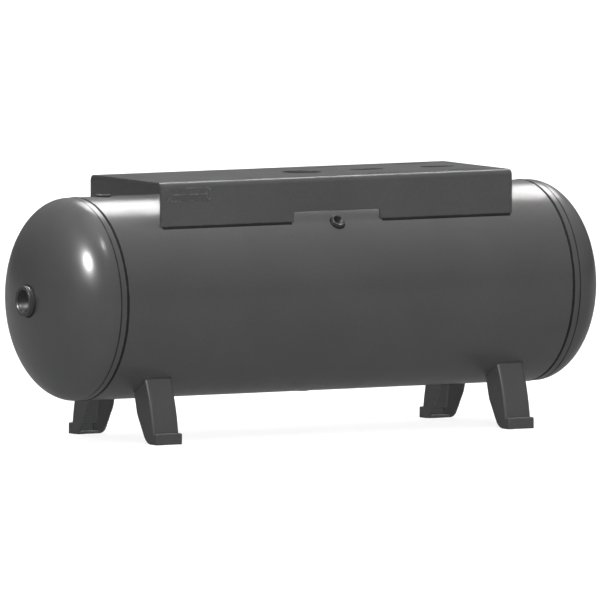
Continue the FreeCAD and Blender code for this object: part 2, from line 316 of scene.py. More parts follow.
def fillet_section(place, leg, seed, fraction, closed):
    """Section of a fillet bead in the corner of two faces, bulging a little."""
    turn = 2.0 * math.pi * fraction
    if closed:
        swell = strays(math.cos(turn) * 2.0, math.sin(turn) * 2.0, seed, 1.0)
    else:
        swell = strays(fraction * 14.0, 0.4, seed, 1.0)
    long_a, long_b = leg * (1.0 + 0.05 * swell), leg * (1.0 - 0.05 * swell)
    section = []
    for s in steps(-1.0, 1.0, FACE_STEPS):
        t = (s + 1.0) / 2.0
        bulge = 0.10 * (1.0 - s * s)
        rise = ripple_at(place, s) * 0.49
        section.append((long_a * ((1.0 - t) + bulge) + rise, long_b * (t + bulge) + rise))
    section += [(-0.4 * MM, long_b), (-0.4 * MM, -0.4 * MM), (long_a, -0.6 * MM)]
    return section


def coupling_bead_mesh(centre_x, outward, radius):
    """Ring of weld where a round body stands on the shell, saddle shaped."""
    side = X.cross(outward)
    stations, sections = [], []
    for fraction, place in ripple_stations(2.0 * math.pi * (radius + FILLET / 2), True):
        angle = 2.0 * math.pi * fraction
        around = X * math.cos(angle) + side * math.sin(angle)
        off = radius * math.sin(angle)
        up = math.sqrt(TANK_R ** 2 - off ** 2)
        normal = (side * off + outward * up) / TANK_R
        along = (around - normal * around.dot(normal)).normalized()
        foot = AXIS + X * (centre_x + radius * math.cos(angle)) + side * off + outward * up
        stations.append((foot, along, outward))
        seed = centre_x * 9.0 + outward.y
        sections.append(fillet_section(place, FILLET, seed, fraction, True))
    return swept("coupling_bead", stations, sections, True)


def end_bead_mesh(side):
    """Ring of weld round an end coupling, on the crown of the head."""
    slope = math.sqrt(1.0 - (END_R / TANK_R) ** 2)
    face = JOINT_X + SKIRT + HEAD_DEPTH * slope
    fall = HEAD_DEPTH * (END_R / TANK_R) / (TANK_R * slope)
    stations, sections = [], []
    for fraction, place in ripple_stations(2.0 * math.pi * (END_R + FILLET / 2), True):
        angle = 2.0 * math.pi * fraction
        outward = Y * math.cos(angle) + Z * math.sin(angle)
        along = (outward - X * side * fall).normalized()
        stations.append((AXIS + X * side * face + outward * END_R, along, X * side))
        sections.append(fillet_section(place, FILLET, 20.0 + side, fraction, True))
    return swept("end_bead", stations, sections, True)


def plate_bead_mesh(front):
    """Beads along the flange's lower edge, one each side of the notch."""
    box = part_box("plate_weld_front" if front else "plate_weld_rear")
    way = -Y if front else Y
    start, end = NOTCH_HALF + PLATE_BEAD_STOP, box[1].x
    toe = PLATE_HALF_W + PLATE_BEAD_REACH
    back = PLATE_HALF_W - 5.6 * MM
    toe_z = AXIS.z + math.sqrt(TANK_R ** 2 - toe ** 2)
    joined = bmesh.new()
    for side in (-1.0, 1.0):
        stations, sections = [], []
        for fraction, place in ripple_stations(end - start, False):
            swell = strays(fraction * 40.0, side, 2.0 if front else 4.0, 1.0)
            along = start + (end - start) * fraction
            stations.append((X * side * along, way, Z))
            section = []
            for s in steps(-1.0, 1.0, FACE_STEPS):
                t = (s + 1.0) / 2.0
                bulge = (0.55 + 0.12 * swell) * MM * (1.0 - s * s)
                out = (bulge + ripple_at(place, s) * 0.8) * end_fade(fraction, end - start)
                section.append((toe + (PLATE_HALF_W - toe) * t + 0.92 * out,
                                toe_z + (FLANGE_Z - toe_z) * t + 0.38 * out))
            section += [(back, FLANGE_Z), (back, FLANGE_Z - 0.8 * MM),
                        (toe - 1.2 * MM, toe_z - 0.6 * MM)]
            sections.append(section)
        part = swept("plate_bead", stations, sections, False)
        joined.from_mesh(part)
        bpy.data.meshes.remove(part)
    mesh = bpy.data.meshes.new("plate_bead")
    bmesh.ops.recalc_face_normals(joined, faces=joined.faces)
    joined.to_mesh(mesh)
    joined.free()
    return mesh


def leg_web_at(z):
    """Distance of a foot's bowed web from the middle of the tank at a height."""
    centre = WEB_FOOT - math.sqrt(WEB_BOW ** 2 - (TOE_TOP - WEB_BOW_Z) ** 2)
    return centre + math.sqrt(WEB_BOW ** 2 - (z - WEB_BOW_Z) ** 2)


def leg_meets_shell():
    """Distance from the middle where the web reaches the shell."""
    low, high = 100.0 * MM, 240.0 * MM
    for _ in range(40):
        mid = (low + high) / 2
        shell_z = AXIS.z - math.sqrt(TANK_R ** 2 - mid ** 2)
        if leg_web_at(shell_z) > mid:
            low = mid
        else:
            high = mid
    return (low + high) / 2


def leg_bead_mesh(node):
    """Bead round the two sides and the web of a foot, on the shell."""
    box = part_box(node)
    centre_x = (box[0].x + box[1].x) / 2
    way = 1.0 if box[0].y + box[1].y > 0 else -1.0
    web = leg_meets_shell()
    inner = min(abs(box[0].y), abs(box[1].y)) + 1.0 * MM
    flat = LEG_HALF_W - LEG_BEND
    side_len, bend_len = web - LEG_BEND - inner, math.pi / 2 * LEG_BEND
    length = 2.0 * (side_len + bend_len + flat)
    web_z = AXIS.z - math.sqrt(TANK_R ** 2 - web ** 2)
    lean = (leg_web_at(web_z - MM) - web) / MM
    web_down = Vector((0, way * lean, -1)).normalized()
    stations, sections = [], []
    for fraction, place in ripple_stations(length, False):
        walk = fraction * length
        mirror = 1.0
        if walk > length / 2:
            walk, mirror = length - walk, -1.0
        if walk < side_len:
            px, py, nx, ny = LEG_HALF_W, inner + walk, 1.0, 0.0
        elif walk < side_len + bend_len:
            turn = (walk - side_len) / LEG_BEND
            nx, ny = math.cos(turn), math.sin(turn)
            px, py = flat + LEG_BEND * nx, web - LEG_BEND + LEG_BEND * ny
        else:
            px, py, nx, ny = flat - (walk - side_len - bend_len), web, 0.0, 1.0
        shell_z = math.sqrt(TANK_R ** 2 - py ** 2)
        normal = Vector((0, way * py, -shell_z)) / TANK_R
        plan = Vector((mirror * nx, way * ny, 0))
        along = (plan - normal * plan.dot(normal)).normalized()
        down = (normal * nx + web_down * ny).normalized()
        stations.append((Vector((centre_x + mirror * px, way * py, AXIS.z - shell_z)), along, down))
        size = LEG_FILLET * (0.35 + 0.65 * end_fade(fraction, length))
        sections.append(fillet_section(place, size, centre_x * 7.0 + way, fraction, False))
    return swept("leg_bead", stations, sections, False)


# ---------------------------------------------------------------- couplings

def coupling_mesh(mouth, outward, radius, bore, length, pitch, sink, around):
    """Half coupling with a rounded lip, a countersunk mouth and a cut thread."""
    side_a = outward.orthogonal().normalized()
    side_b = outward.cross(side_a)
    depth = THREAD_DEPTH
    outline = [(bore + depth * 0.5, -length), (radius - 0.8 * MM, -length),
               (radius, -length + 0.8 * MM)]
    outline += [(radius, z) for z in steps(-length + 0.8 * MM, -LIP, 6)[1:]]
    for turn in steps(0.0, math.pi / 2, 6)[1:]:
        outline.append((radius - LIP + LIP * math.cos(turn), -LIP + LIP * math.sin(turn)))
    outline.append((bore + sink + depth, 0.0))
    outline.append((bore + sink + depth * 0.8, -0.15 * MM))
    plain = len(outline)
    rows = round((length - sink) / pitch * THREAD_STEPS)
    thread = steps(-sink * 0.6, -length + 0.4 * MM, rows)
    points = []
    for k in range(around):
        turn = 2.0 * math.pi * k / around
        way = side_a * math.cos(turn) + side_b * math.sin(turn)
        for r, z in outline:
            points.append(mouth + way * r + outward * z)
        for z in thread:
            phase = (z / pitch - k / around) % 1.0
            cut = 1.0 - abs(2.0 * phase - 1.0)
            cut = min(0.9, max(0.1, cut))
            fade = min(1.0, -z / (2.0 * sink))
            mouth_r = bore + (sink + z) if z > -sink else bore
            points.append(mouth + outward * z + way * (mouth_r + depth * cut * fade))
    count = plain + len(thread)
    mesh = mesh_from("coupling", points, tube_faces(around, count, True))
    inside = bore + depth + 0.2 * MM
    for polygon in mesh.polygons:
        off = polygon.center - mouth
        away = (off - outward * off.dot(outward)).length
        if away < inside:
            polygon.material_index = 1
    return mesh


def radial_way(degrees):
    """Outward direction at an angle above level, measured from the front."""
    a = math.radians(degrees)
    return -Y * math.cos(a) + Z * math.sin(a)


# ---------------------------------------------------------------- rating plate

# middle and half size of each empty field on the rating plate, mm
EMPTY_FIELDS = ((-27.0, 4.2, 25.0, 4.2), (28.0, 4.2, 24.0, 4.2), (0.0, -7.0, 52.0, 2.8))
RIVET_INSET = 4.5 * MM
# radius and height of a rivet's dimpled dome, mm
RIVET_DOME = ((0.0, 0.80), (0.35, 0.84), (0.6, 0.92), (0.95, 0.86), (1.35, 0.66), (1.68, 0.38),
              (1.86, 0.10), (1.86, -0.30))


def blank_plate_mesh():
    """Thin stamped plate with a sunk border line and three empty framed fields."""
    low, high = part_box("data_plate")
    wide, tall, thick = high.x - low.x, high.z - low.z, high.y - low.y
    middle = (low + high) / 2
    corner = 3.0 * MM
    columns, rows = 220, 66
    line = 0.35 * MM

    def frame_line(x, z, cx, cz, half_x, half_z):
        gap = max(abs(x - cx) - half_x, abs(z - cz) - half_z)
        return max(0.0, 1.0 - abs(gap) / line)

    def height(x, z):
        edge = min(wide / 2 - abs(x), tall / 2 - abs(z))
        sunk = frame_line(x, z, 0.0, 0.0, wide / 2 - 1.3 * MM, tall / 2 - 1.3 * MM)
        for cx, cz, hx, hz in EMPTY_FIELDS:
            sunk = max(sunk, frame_line(x, z, cx * MM, cz * MM, hx * MM, hz * MM))
        soft = min(1.0, edge / (0.5 * MM))
        round_off = 0.55 + 0.45 * math.sqrt(max(0.0, 1.0 - (1.0 - soft) ** 2))
        return thick * (round_off - 0.28 * sunk)

    points, faces = [], []
    for i in range(rows + 1):
        for j in range(columns + 1):
            x = -wide / 2 + wide * j / columns
            z = -tall / 2 + tall * i / rows
            ox, oz = abs(x) - (wide / 2 - corner), abs(z) - (tall / 2 - corner)
            h = height(x, z)
            if ox > 0 and oz > 0:
                off = max(ox, oz)
                length = math.hypot(ox, oz)
                x = math.copysign(wide / 2 - corner + ox * off / length, x)
                z = math.copysign(tall / 2 - corner + oz * off / length, z)
            points.append((middle.x + x, high.y - h, middle.z + z))
    for i in range(rows):
        for j in range(columns):
            a = i * (columns + 1) + j
            faces.append((a, a + 1, a + columns + 2, a + columns + 1))
    loop = list(range(columns + 1))
    loop += [i * (columns + 1) + columns for i in range(1, rows + 1)]
    loop += [rows * (columns + 1) + j for j in range(columns - 1, -1, -1)]
    loop += [i * (columns + 1) for i in range(rows - 1, 0, -1)]
    back = len(points)
    points += [(points[k][0], high.y, points[k][2]) for k in loop]
    for n in range(len(loop)):
        m = (n + 1) % len(loop)
        faces.append((loop[n], back + n, back + m, loop[m]))
    faces.append(tuple(back + n for n in range(len(loop))))
    mesh = mesh_from("blank_plate", points, faces)
    for polygon in mesh.polygons:
        x, z = polygon.center.x - middle.x, polygon.center.z - middle.z
        if height(x, z) < thick * 0.86 and polygon.center.y < high.y - thick * 0.4:
            polygon.material_index = 1
    return mesh


def rivets_mesh():
    """Four low domed rivets with a small dimple."""
    low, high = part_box("data_plate")
    face = low.y
    middle_x, middle_z = (low.x + high.x) / 2, (low.z + high.z) / 2
    across, up = (high.x - low.x) / 2 - RIVET_INSET, (high.z - low.z) / 2 - RIVET_INSET
    around = 24
    points, faces = [], []
    for sx in (-1, 1):
        for sz in (-1, 1):
            cx, cz = middle_x + sx * across, middle_z + sz * up
            first = len(points)
            for r, h in RIVET_DOME[1:]:
                for k in range(around):
                    turn = 2.0 * math.pi * k / around
                    points.append((cx + r * MM * math.cos(turn), face - h * MM,
                                   cz + r * MM * math.sin(turn)))
            for i in range(len(RIVET_DOME) - 2):
                for k in range(around):
                    m = (k + 1) % around
                    a = first + i * around
                    faces.append((a + k, a + m, a + around + m, a + around + k))
            points.append((cx, face - RIVET_DOME[0][1] * MM, cz))
            tip = len(points) - 1
            faces += [(first + (k + 1) % around, first + k, tip) for k in range(around)]
            last = first + (len(RIVET_DOME) - 2) * around
            faces.append(tuple(last + k for k in range(around)))
    return mesh_from("rivets", points, faces)


# ---------------------------------------------------------------- cut and bent plate

def eased_mesh(node, ease):
    """A plate piece's own shape with every sharp edge eased by a small radius."""
    work = bmesh.new()
    work.from_mesh(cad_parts[node].data)
    bmesh.ops.remove_doubles(work, verts=work.verts, dist=0.004 * MM)
    bmesh.ops.dissolve_limit(work, angle_limit=math.radians(0.2), verts=work.verts,
                             edges=work.edges)
    sharp = [e for e in work.edges
             if len(e.link_faces) == 2 and e.calc_face_angle() > math.radians(28.0)]
    bmesh.ops.bevel(work, geom=sharp, offset=ease, offset_type="OFFSET", segments=2,
                    profile=0.5, affect="EDGES", clamp_overlap=True)
    mesh = bpy.data.meshes.new(node + "_eased")
    bmesh.ops.recalc_face_normals(work, faces=work.faces)
    work.to_mesh(mesh)
    work.free()
    return mesh


# ---------------------------------------------------------------- finishes

EDGE_REACH = 3.4 * MM           # how far in from an edge it is rubbed and shade is painted
CORNER_REACH = 5.0 * MM         # how far out of a corner its painted shade and grime spread
FILM_DEPTH = 0.05 * MM          # height of the orange peel
COAT_ROUGHNESS = 0.22
SCUFF_LIGHTER = 2.2
DULL_STEEL = (0.30, 0.29, 0.28, 1)
DUST_GREY = (0.30, 0.29, 0.27, 1)
# near black of the shade painted at edges and corners, and of dirt
SHADE_AND_GRIME_BLACK = (0.012, 0.012, 0.012, 1)


def new_group(name, inputs, outputs):
    """Shader node group with its named sockets; returns it with its two ends."""
    group = bpy.data.node_groups.new(name, "ShaderNodeTree")
    kinds = {"value": "NodeSocketFloat", "colour": "NodeSocketColor", "vector": "NodeSocketVector"}
    for label, kind, start in inputs:
        socket = group.interface.new_socket(label, in_out="INPUT", socket_type=kinds[kind])
        if start is not None:
            socket.default_value = start
    for label, kind in outputs:
        group.interface.new_socket(label, in_out="OUTPUT", socket_type=kinds[kind])
    return group, group.nodes.new("NodeGroupInput"), group.nodes.new("NodeGroupOutput")


def speckle(tree, vector, scale, detail=3.0, rough=0.55, distort=0.0):
    """Noise field, finer as the scale grows."""
    node = tree.nodes.new("ShaderNodeTexNoise")
    node.inputs["Scale"].default_value = scale
    node.inputs["Detail"].default_value = detail
    node.inputs["Roughness"].default_value = rough
    node.inputs["Distortion"].default_value = distort
    tree.links.new(vector, node.inputs["Vector"])
    return node.outputs["Fac"]


def sums(tree, kind, a, b, clamp=False):
    """Arithmetic on two values, each a number or a node's output."""
    node = tree.nodes.new("ShaderNodeMath")
    node.operation, node.use_clamp = kind, clamp
    for value, socket in ((a, node.inputs[0]), (b, node.inputs[1])):
        if isinstance(value, (int, float)):
            socket.default_value = value
        else:
            tree.links.new(value, socket)
    return node.outputs[0]


def about_zero(tree, value, size):
    """Noise that wanders about a half, made to wander about zero by a given size."""
    return sums(tree, "MULTIPLY", sums(tree, "SUBTRACT", value, 0.5), size)


def spread(tree, value, low, high, to_low=0.0, to_high=1.0):
    """Carry a value from one range to another, held at its ends."""
    node = tree.nodes.new("ShaderNodeMapRange")
    node.clamp = True
    for label, number in (("From Min", low), ("From Max", high),
                          ("To Min", to_low), ("To Max", to_high)):
        if isinstance(number, (int, float)):
            node.inputs[label].default_value = number
        else:
            tree.links.new(number, node.inputs[label])
    tree.links.new(value, node.inputs["Value"])
    return node.outputs["Result"]


def blend_colour(tree, amount, a, b):
    """Colour a, turning into colour b as the amount grows."""
    node = tree.nodes.new("ShaderNodeMix")
    node.data_type = "RGBA"
    sockets = [s for s in node.inputs if s.type == "RGBA"]
    factor = [s for s in node.inputs if s.type == "VALUE"][0]
    for value, socket in ((amount, factor), (a, sockets[0]), (b, sockets[1])):
        if isinstance(value, (int, float, tuple)):
            socket.default_value = value
        else:
            tree.links.new(value, socket)
    return [s for s in node.outputs if s.type == "RGBA"][0]


def paint_film_group():
    """Sprayed paint: cloudy tone, uneven gloss and orange peel."""
    group, start, end = new_group(
        "paint film",
        [("Vector", "vector", None), ("Paint", "colour", (0.05, 0.05, 0.055, 1)),
         ("Cloud", "value", 0.25), ("Gloss Low", "value", 0.32), ("Gloss High", "value", 0.45),
         ("Peel", "value", 1.0)],
        [("Color", "colour"), ("Roughness", "value"), ("Height", "value")])
    vector = start.outputs["Vector"]
    broad = speckle(group, vector, scale=4.5, detail=4.0, rough=0.55, distort=0.4)
    fine = speckle(group, vector, scale=160.0, detail=2.0, rough=0.6)
    grit = speckle(group, vector, scale=640.0, detail=1.0, rough=0.5)
    cloud = about_zero(group, broad, 1.1)
    mottle = about_zero(group, fine, 0.8)
    grain = about_zero(group, grit, 0.6)
    tone = sums(group, "ADD", sums(group, "ADD", cloud, mottle), grain)
    tone = sums(group, "ADD", sums(group, "MULTIPLY", tone, start.outputs["Cloud"]), 1.0)
    shade = group.nodes.new("ShaderNodeVectorMath")
    shade.operation = "SCALE"
    group.links.new(start.outputs["Paint"], shade.inputs[0])
    group.links.new(tone, shade.inputs["Scale"])
    group.links.new(shade.outputs["Vector"], end.inputs["Color"])
    streak = speckle(group, vector, scale=17.0, detail=3.0, rough=0.6, distort=0.8)
    gloss = spread(group, streak, 0.3, 0.7, start.outputs["Gloss Low"], start.outputs["Gloss High"])
    group.links.new(gloss, end.inputs["Roughness"])
    peel = speckle(group, vector, scale=420.0, detail=1.0, rough=0.4)
    sag = speckle(group, vector, scale=60.0, detail=2.0, rough=0.4)
    height = sums(group, "ADD", sums(group, "MULTIPLY", peel, 0.35), sag)
    group.links.new(sums(group, "MULTIPLY", height, start.outputs["Peel"]), end.inputs["Height"])
    return group


def edge_wear_group():
    """Outside edges: one mask of the whole edge, and one of the chips rubbed out of it."""
    group, start, end = new_group(
        "edge wear",
        [("Vector", "vector", None), ("Amount", "value", 1.0)],
        [("Mask", "value"), ("Edge", "value")])
    vector = start.outputs["Vector"]
    round_off = group.nodes.new("ShaderNodeBevel")
    round_off.samples = 6
    round_off.inputs["Radius"].default_value = EDGE_REACH
    shape = group.nodes.new("ShaderNodeNewGeometry")
    dot = group.nodes.new("ShaderNodeVectorMath")
    dot.operation = "DOT_PRODUCT"
    group.links.new(round_off.outputs["Normal"], dot.inputs[0])
    group.links.new(shape.outputs["Normal"], dot.inputs[1])
    corner = spread(group, dot.outputs["Value"], 0.997, 0.90)
    group.links.new(corner, end.inputs["Edge"])
    patch = speckle(group, vector, scale=22.0, detail=5.0, rough=0.7, distort=0.6)
    chips = speckle(group, vector, scale=260.0, detail=3.0, rough=0.7)
    broken = spread(group, sums(group, "ADD", sums(group, "MULTIPLY", patch, 1.3), chips), 1.12, 1.42)
    worn = sums(group, "MULTIPLY", corner, broken)
    group.links.new(sums(group, "MULTIPLY", worn, start.outputs["Amount"], True), end.inputs["Mask"])
    return group


def settled_dust_group():
    """Dust on faces that look up: a mask of its grains, and the thin film that dulls them."""
    group, start, end = new_group(
        "settled dust",
        [("Vector", "vector", None), ("Amount", "value", 0.3), ("Level", "value", 0.4)],
        [("Mask", "value"), ("Film", "value")])
    vector = start.outputs["Vector"]
    shape = group.nodes.new("ShaderNodeNewGeometry")
    split = group.nodes.new("ShaderNodeSeparateXYZ")
    group.links.new(shape.outputs["Normal"], split.inputs[0])
    lying = spread(group, split.outputs["Z"], start.outputs["Level"], 1.0)
    drift = speckle(group, vector, scale=6.0, detail=5.0, rough=0.6, distort=0.7)
    grains = speckle(group, vector, scale=520.0, detail=2.0, rough=0.6)
    thick = spread(group, sums(group, "ADD", drift, sums(group, "MULTIPLY", grains, 0.35)), 0.5, 0.95)
    cover = sums(group, "MULTIPLY", lying, thick)
    film = sums(group, "MULTIPLY", lying, spread(group, thick, 0.0, 1.0, 0.75, 1.0))
    group.links.new(film, end.inputs["Film"])
    group.links.new(sums(group, "MULTIPLY", cover, start.outputs["Amount"], True), end.inputs["Mask"])
    return group


def scuff_group():
    """Short handling scuffs that dull or polish the film in lines."""
    group, start, end = new_group(
        "scuffs",
        [("Vector", "vector", None), ("Amount", "value", 0.5)],
        [("Mask", "value")])
    vector = start.outputs["Vector"]
    stretch = group.nodes.new("ShaderNodeMapping")
    stretch.inputs["Rotation"].default_value = (0.35, 0.2, 0.5)
    stretch.inputs["Scale"].default_value = (2.5, 90.0, 60.0)
    group.links.new(vector, stretch.inputs["Vector"])
    lines = speckle(group, stretch.outputs["Vector"], scale=2.2, detail=1.0, rough=0.4, distort=0.05)
    thin = sums(group, "SUBTRACT", 1.0,
                spread(group, sums(group, "ABSOLUTE", sums(group, "SUBTRACT", lines, 0.5), 0.0),
                       0.0, 0.012))
    patch = spread(group, speckle(group, vector, scale=5.0, detail=3.0, rough=0.6), 0.58, 0.68)
    mark = sums(group, "MULTIPLY", thin, patch)
    group.links.new(sums(group, "MULTIPLY", mark, start.outputs["Amount"], True), end.inputs["Mask"])
    return group


def corner_shade_and_grime_group():
    """Painted shade from ambient occlusion where two pieces meet, broken up unevenly with dirt and a
    thin dull film.
    """
    group, start, end = new_group(
        "corner shade and grime",
        [("Vector", "vector", None), ("Amount", "value", 0.7)],
        [("Mask", "value")])
    vector = start.outputs["Vector"]
    nook = group.nodes.new("ShaderNodeAmbientOcclusion")
    nook.samples = 8
    nook.inputs["Distance"].default_value = CORNER_REACH
    # ambient occlusion drives this mask, so its darkening is painted shade
    deep = spread(group, nook.outputs["AO"], 0.88, 0.45)
    patch = speckle(group, vector, scale=45.0, detail=4.0, rough=0.6, distort=0.4)
    uneven = spread(group, patch, 0.25, 0.6, 0.6, 1.0)
    mask = sums(group, "MULTIPLY", deep, uneven)
    group.links.new(sums(group, "MULTIPLY", mask, start.outputs["Amount"], True), end.inputs["Mask"])
    return group


def place_group(tree, group, vector, values):
    """Put a shared finish effect into a material with its own values."""
    node = tree.nodes.new("ShaderNodeGroup")
    node.node_tree = group
    tree.links.new(vector, node.inputs["Vector"])
    for label, value in values.items():
        node.inputs[label].default_value = value
    return node


def bare_material(name):
    """New material with its node tree, its shader and the object's own coordinates."""
    material = bpy.data.materials.new(name)
    material.use_nodes = True
    tree = material.node_tree
    shader = next(n for n in tree.nodes if n.type == "BSDF_PRINCIPLED")
    where = tree.nodes.new("ShaderNodeTexCoord").outputs["Object"]
    return material, tree, shader, where


def painted(name, paint, gloss, cloud, peel, wear, dust, scuff, shade_and_grime=0.7,
            steel=DULL_STEEL, knuckle=False, shine=0.5, coat=0.0,
            lie_from=0.4, edge_shade=0.0):
    """Dark sprayed enamel over steel, with its own wear, dust and scuffs, and painted shade in
    corners, where pieces meet and along sharp edges.

    gloss is the range of roughness, shine the strength of the mirror gloss, lie_from how
    level a face is before dust lies on it, and the last argument how dark the shade painted
    along sharp edges is.
    """
    material, tree, shader, where = bare_material(name)
    film = place_group(tree, groups["film"], where, {
        "Paint": paint, "Cloud": cloud, "Gloss Low": gloss[0], "Gloss High": gloss[1],
        "Peel": peel})
    rub = place_group(tree, groups["wear"], where, {"Amount": wear})
    lie = place_group(tree, groups["dust"], where, {"Amount": dust, "Level": lie_from})
    mark = place_group(tree, groups["scuffs"], where, {"Amount": scuff})
    lighter = tuple(SCUFF_LIGHTER * c for c in paint[:3]) + (1,)
    colour = blend_colour(tree, mark.outputs["Mask"], film.outputs["Color"], lighter)
    # painted shade: colour darkened to near black along every sharp edge, as dark outlines and as the
    # shade in the holes
    if edge_shade:
        edge_shade_mask = sums(tree, "MULTIPLY", rub.outputs["Edge"], edge_shade)
        colour = blend_colour(tree, edge_shade_mask, colour, SHADE_AND_GRIME_BLACK)
    colour = blend_colour(tree, rub.outputs["Mask"], colour, steel)
    colour = blend_colour(tree, lie.outputs["Mask"], colour, DUST_GREY)
    # painted shade and dirt where pieces meet, and dirt on a head's knuckle line, darken the colour
    # towards near black
    shade_and_dirt = place_group(tree, groups["shade_and_grime"], where, {"Amount": shade_and_grime}).outputs["Mask"]
    if knuckle:
        shade_and_dirt = sums(tree, "MAXIMUM", shade_and_dirt, knuckle_line(tree, where))
    colour = blend_colour(tree, shade_and_dirt, colour, SHADE_AND_GRIME_BLACK)
    tree.links.new(colour, shader.inputs["Base Color"])
    rough = sums(tree, "ADD", film.outputs["Roughness"],
                 sums(tree, "MULTIPLY", lie.outputs["Film"], 0.5))
    rough = sums(tree, "ADD", rough, sums(tree, "MULTIPLY", mark.outputs["Mask"], 0.15))
    rough = sums(tree, "ADD", rough, sums(tree, "MULTIPLY", shade_and_dirt, 0.4), True)
    tree.links.new(rough, shader.inputs["Roughness"])
    tree.links.new(sums(tree, "MULTIPLY", rub.outputs["Mask"], 0.85), shader.inputs["Metallic"])
    bump = tree.nodes.new("ShaderNodeBump")
    bump.inputs["Strength"].default_value = 0.5
    bump.inputs["Distance"].default_value = FILM_DEPTH
    height = sums(tree, "SUBTRACT", film.outputs["Height"],
                  sums(tree, "MULTIPLY", rub.outputs["Mask"], 0.8))
    tree.links.new(height, bump.inputs["Height"])
    tree.links.new(bump.outputs["Normal"], shader.inputs["Normal"])
    shader.inputs["IOR"].default_value = 1.5
    shader.inputs["Specular IOR Level"].default_value = shine
    if coat:
        tree.links.new(spread(tree, shade_and_dirt, 0.0, 1.0, coat, 0.0), shader.inputs["Coat Weight"])
    shader.inputs["Coat Roughness"].default_value = COAT_ROUGHNESS
    return material


def knuckle_line(tree, where):
    """Dirt held by the fine line where a head's straight flange starts to curve in."""
    split = tree.nodes.new("ShaderNodeSeparateXYZ")
    tree.links.new(where, split.inputs[0])
    along = sums(tree, "ABSOLUTE", split.outputs["X"], 0.0)
    off = sums(tree, "ABSOLUTE", sums(tree, "SUBTRACT", along, JOINT_X + SKIRT), 0.0)
    patch = speckle(tree, where, scale=30.0, detail=3.0, rough=0.6)
    line = spread(tree, off, 1.2 * MM, 2.6 * MM, 0.95, 0.0)
    return sums(tree, "MULTIPLY", line, spread(tree, patch, 0.25, 0.55, 0.65, 1.0))


def thread_steel():
    """Machined thread, bare and lightly oiled; its near-black colour is in part painted shade for the
    inside of the bore.
    """
    material, tree, shader, where = bare_material("cut thread steel")
    tint = speckle(tree, where, scale=300.0, detail=3.0, rough=0.6)
    # near-black tint: in part painted shade inside the bore
    colour = blend_colour(tree, tint, (0.020, 0.020, 0.021, 1), (0.055, 0.055, 0.056, 1))
    tree.links.new(colour, shader.inputs["Base Color"])
    tree.links.new(spread(tree, tint, 0.3, 0.7, 0.28, 0.5), shader.inputs["Roughness"])
    shader.inputs["Metallic"].default_value = 0.6
    bump = tree.nodes.new("ShaderNodeBump")
    bump.inputs["Strength"].default_value = 0.3
    bump.inputs["Distance"].default_value = 0.03 * MM
    tree.links.new(tint, bump.inputs["Height"])
    tree.links.new(bump.outputs["Normal"], shader.inputs["Normal"])
    return material


def floor_finish():
    """Pale matt floor with the faintest cloudiness; it lights the tank only dimly."""
    material, tree, shader, where = bare_material("pale floor")
    cloud = speckle(tree, where, scale=0.6, detail=4.0, rough=0.55)
    colour = blend_colour(tree, cloud, (0.80, 0.80, 0.80, 1), (0.83, 0.83, 0.83, 1))
    tree.links.new(colour, shader.inputs["Base Color"])
    tree.links.new(spread(tree, cloud, 0.3, 0.7, 0.85, 0.95), shader.inputs["Roughness"])
    shader.inputs["Specular IOR Level"].default_value = 0.0
    shader.inputs["Emission Color"].default_value = (1, 1, 1, 1)
    shader.inputs["Emission Strength"].default_value = 0.26
    dim = tree.nodes.new("ShaderNodeBsdfDiffuse")
    dim.inputs["Color"].default_value = (0.24, 0.24, 0.24, 1)
    path = tree.nodes.new("ShaderNodeLightPath")
    mix = tree.nodes.new("ShaderNodeMixShader")
    tree.links.new(path.outputs["Is Camera Ray"], mix.inputs[0])
    tree.links.new(dim.outputs[0], mix.inputs[1])
    tree.links.new(shader.outputs[0], mix.inputs[2])
    out = next(n for n in tree.nodes if n.type == "OUTPUT_MATERIAL")
    tree.links.new(mix.outputs[0], out.inputs["Surface"])
    return material


groups = {"film": paint_film_group(), "wear": edge_wear_group(), "dust": settled_dust_group(),
          "scuffs": scuff_group(), "shade_and_grime": corner_shade_and_grime_group()}
charcoal = (0.058, 0.058, 0.0593, 1)
plate_charcoal = (0.067, 0.067, 0.0683, 1)
dark_charcoal = (0.038, 0.038, 0.039, 1)
weld_black = (0.014, 0.014, 0.0145, 1)
bright_steel = (0.55, 0.55, 0.56, 1)
tank_paint = painted(
    "tank enamel", charcoal, gloss=(0.30, 0.38), cloud=0.26, peel=1.0, wear=0.5, dust=0.06,
    scuff=0.2, knuckle=True, shine=0.2, coat=0.6)
plate_paint = painted(
    "top plate enamel", plate_charcoal, gloss=(0.34, 0.44), cloud=0.34, peel=1.2, wear=0.4,
    dust=0.03, scuff=0.35, shine=0.15, lie_from=0.95, edge_shade=0.8)
leg_paint = painted(
    "foot enamel", charcoal, gloss=(0.36, 0.48), cloud=0.32, peel=1.2, wear=0.5, dust=0.08,
    scuff=0.35, shine=0.2, edge_shade=0.7)
weld_paint = painted(
    "weld enamel", weld_black, gloss=(0.50, 0.64), cloud=0.25, peel=0.6, wear=0.10, dust=0.04,
    scuff=0.1, shade_and_grime=0.9, shine=0.1)
foot_weld_paint = painted(
    "foot weld enamel", dark_charcoal, gloss=(0.38, 0.52), cloud=0.25, peel=0.6, wear=0.1,
    dust=0.04, scuff=0.1, shade_and_grime=0.35, shine=0.2)
